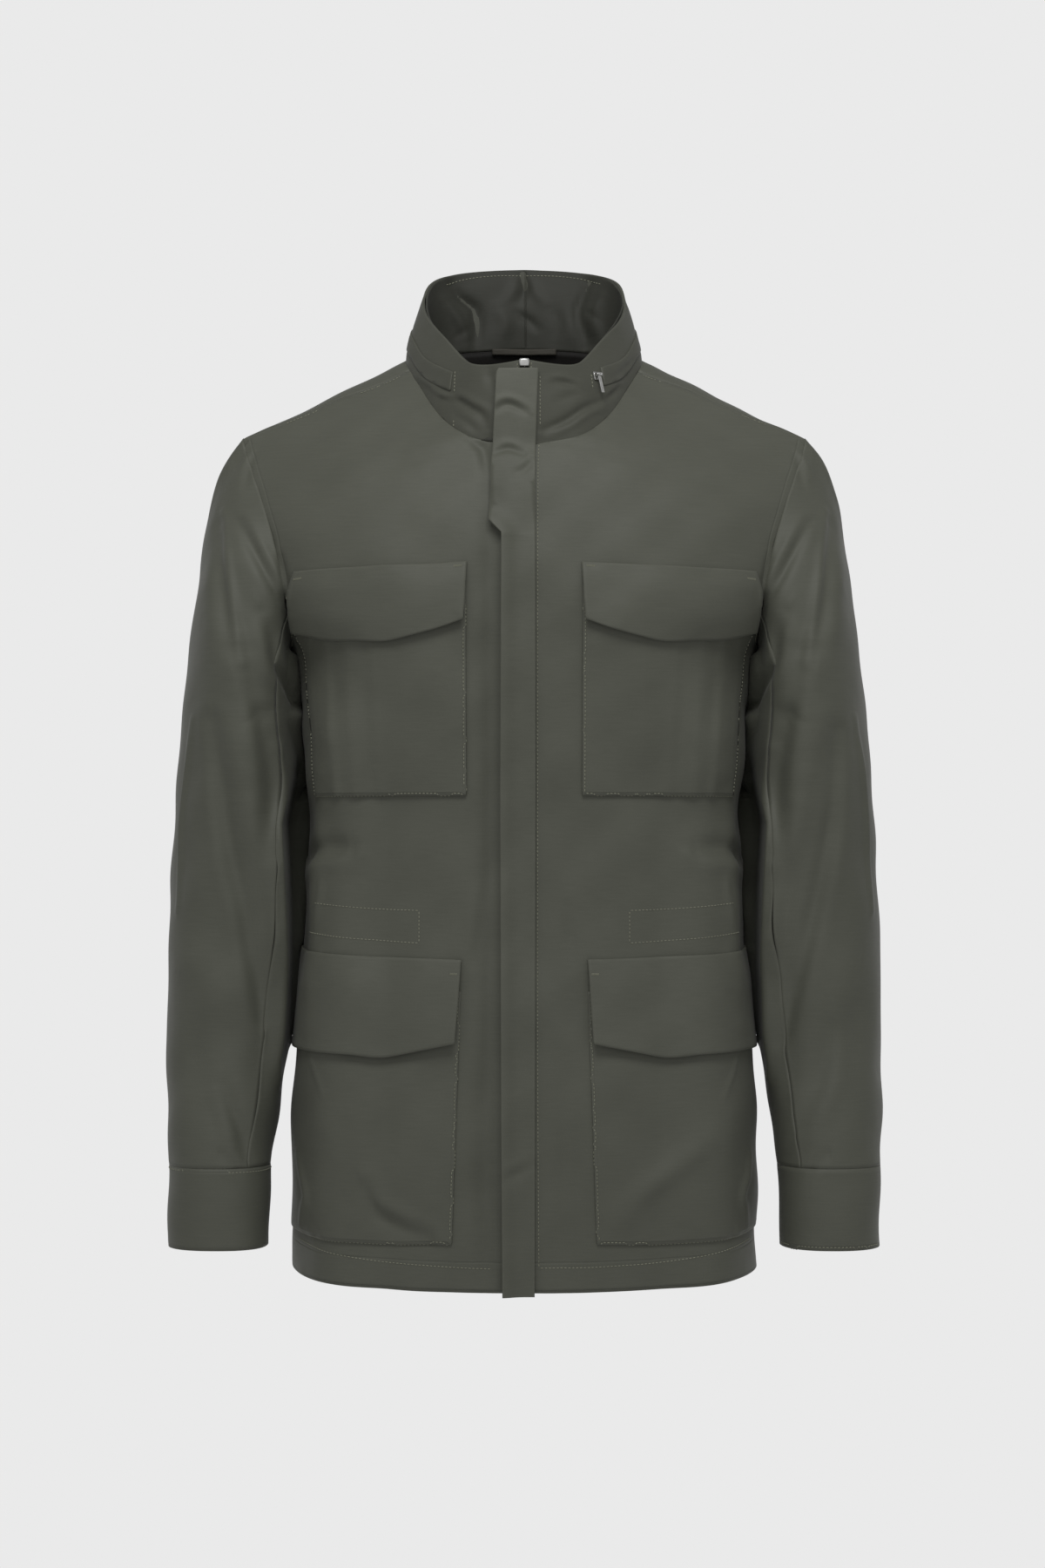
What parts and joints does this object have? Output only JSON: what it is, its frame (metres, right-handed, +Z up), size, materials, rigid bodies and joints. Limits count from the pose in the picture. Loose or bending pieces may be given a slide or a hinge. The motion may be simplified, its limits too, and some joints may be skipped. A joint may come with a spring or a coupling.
{
  "type": "field jacket",
  "caption": "Hip-length field jacket with a stand collar, storm placket over the front zip and flapped patch pockets at chest and hip.",
  "frame": {"origin": "between the shoulders at the height of the side neck points, where the wearer's neck and shoulders hold the jacket", "axes": "+X towards the wearer's left, the front faces -Y, +Z up"},
  "size_m": [0.5892, 0.2443, 0.8416],
  "materials": {
    "olive_cloth": "smooth, tightly woven technical cloth with a faint sheen",
    "dark_lining": "plain dark woven lining",
    "black_zip": "woven zip tape with metal teeth",
    "silver_metal": "satin silver"
  },
  "bodies": {
    "jacket": {"front_left": "olive_cloth", "front_right": "olive_cloth", "back": "olive_cloth", "sleeve_top_left": "olive_cloth", "sleeve_top_right": "olive_cloth", "sleeve_under_left": "olive_cloth", "sleeve_under_right": "olive_cloth", "cuff_left": "olive_cloth", "cuff_right": "olive_cloth", "collar_outer": "olive_cloth", "collar_inner": "olive_cloth", "hood_zip_flange": "olive_cloth", "storm_placket": "olive_cloth", "chest_pocket_left": "olive_cloth", "chest_pocket_right": "olive_cloth", "chest_flap_left": "olive_cloth", "chest_flap_right": "olive_cloth", "lower_pocket_left": "olive_cloth", "lower_pocket_right": "olive_cloth", "lower_flap_left": "olive_cloth", "lower_flap_right": "olive_cloth", "neck_facing": "dark_lining", "hanger_loop": "dark_lining", "main_zip": "black_zip", "main_zip_slider": "silver_metal", "hood_zip_slider": "silver_metal"},
    "hood_zip_pull": {"hood_zip_pull": "silver_metal"}
  },
  "joints": [
    {"name": "hood_zip_pull_swing", "type": "hinge", "parent": "jacket", "child": "hood_zip_pull", "pos_m": [0.06045, -0.06551, -0.00676], "axis": [-0.7715, -0.6362, 0], "range_deg": [0, 150]}
  ]
}
